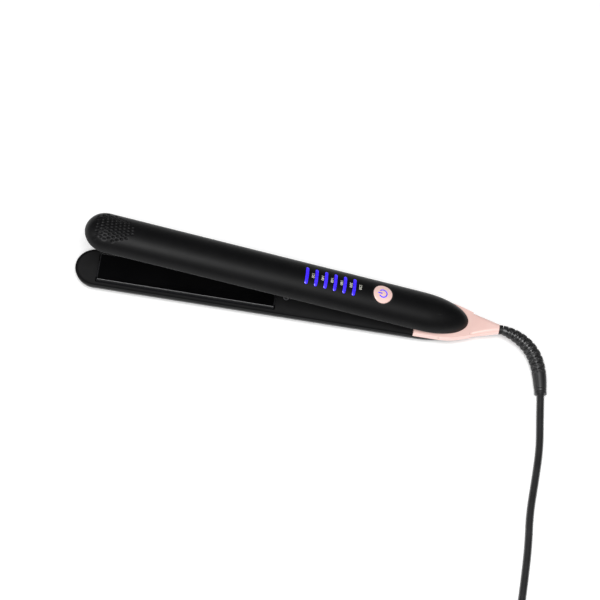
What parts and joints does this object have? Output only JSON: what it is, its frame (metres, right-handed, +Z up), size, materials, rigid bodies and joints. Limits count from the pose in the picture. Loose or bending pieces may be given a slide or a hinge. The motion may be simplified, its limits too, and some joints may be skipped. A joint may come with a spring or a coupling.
{
  "type": "hair straightener",
  "caption": "Slim hair straightener with two hinged arms, floating heated plates, a lit temperature row and power button, and a swivel mains cord.",
  "frame": {"origin": "on the table plane, under the middle of the straightener's own length and width, cord left out", "axes": "+X along the lower arm from its tip to the cord, +Y across its width, +Z up from the table, the upper arm standing open above the lower arm"},
  "size_m": [0.3218, 0.3031, 0.0698],
  "materials": {
    "soft_touch_black": "soft-touch matt black",
    "cover_black": "fine moulded matt black",
    "plate_ceramic": "glossy black ceramic coating",
    "rose_gold": "pale rose-gold satin metallic",
    "blue_light": "lit blue light guide",
    "spring_steel": "plain",
    "screw_black": "black oxide",
    "heater_ceramic": "white ceramic",
    "aluminium_bar": "mill finish",
    "silicone_red": "silicone",
    "board_green": "solder mask",
    "component_black": "moulded packages",
    "led_white": "led package",
    "wire_white": "glass-braid sleeve",
    "fuse_metal": "plated can",
    "cord_black": "satin black pvc",
    "relief_black": "ribbed black pvc",
    "plug_metal": "plated brass"
  },
  "bodies": {
    "lower_arm": {"lower_shell": "soft_touch_black", "lower_inner_cover": "cover_black", "lower_hinge_bracket": "spring_steel", "lower_cover_screws": "screw_black", "lower_bracket_screws": "spring_steel", "hinge_pin": "spring_steel", "opening_spring": "spring_steel", "tail_housing_lower": "rose_gold", "tail_housing_upper": "rose_gold", "tail_screws": "spring_steel", "supply_wires": "wire_white", "thermal_fuse": "fuse_metal", "strain_relief": "relief_black", "cord_tube": "cord_black", "cord_coil": "cord_black", "cord_tie": "cord_black", "plug_lead": "cord_black", "plug_body": "cord_black", "plug_blades": "plug_metal"},
    "lower_heated_plate": {"lower_plate": "plate_ceramic", "lower_heater": "heater_ceramic", "lower_heater_clip": "aluminium_bar", "lower_plate_cushions": "silicone_red"},
    "upper_arm": {"upper_shell": "soft_touch_black", "upper_inner_cover": "cover_black", "upper_hinge_bracket": "spring_steel", "upper_cover_screws": "screw_black", "upper_bracket_screws": "spring_steel", "control_board": "board_green", "board_screws": "spring_steel", "board_components": "component_black", "led_chips": "led_white", "tact_switch": "component_black", "light_bars": "blue_light", "button_bezel": "cover_black"},
    "upper_heated_plate": {"upper_plate": "plate_ceramic", "upper_heater": "heater_ceramic", "upper_heater_clip": "aluminium_bar", "upper_plate_cushions": "silicone_red", "thermistor": "led_white"},
    "power_button": {"power_button": "rose_gold", "power_symbol": "blue_light"},
    "cord_swivel": {"cord_swivel": "cover_black"}
  },
  "joints": [
    {"name": "arm_hinge", "type": "hinge", "parent": "lower_arm", "child": "upper_arm", "pos_m": [0.10975, 0, 0.014], "axis": [0, -1, 0], "range_deg": [0, 10], "stiffness_Nm_per_rad": 2, "springref_deg": -28.65},
    {"name": "lower_plate_float", "type": "slide", "parent": "lower_arm", "child": "lower_heated_plate", "axis": [0, 0, -1], "range_m": [0, 0.0006], "stiffness_N_per_m": 4000, "springref_m": -0.001},
    {"name": "upper_plate_float", "type": "slide", "parent": "upper_arm", "child": "upper_heated_plate", "axis": [0.1736, 0, 0.9848], "range_m": [0, 0.0006], "stiffness_N_per_m": 4000, "springref_m": -0.001},
    {"name": "power_button_press", "type": "slide", "parent": "upper_arm", "child": "power_button", "axis": [-0.1736, 0, -0.9848], "range_m": [0, 0.0005], "stiffness_N_per_m": 1500, "springref_m": -0.0006},
    {"name": "cord_swivel_turn", "type": "hinge", "parent": "lower_arm", "child": "cord_swivel", "pos_m": [0.14075, 0, 0.014], "axis": [1, 0, 0], "continuous": true}
  ]
}
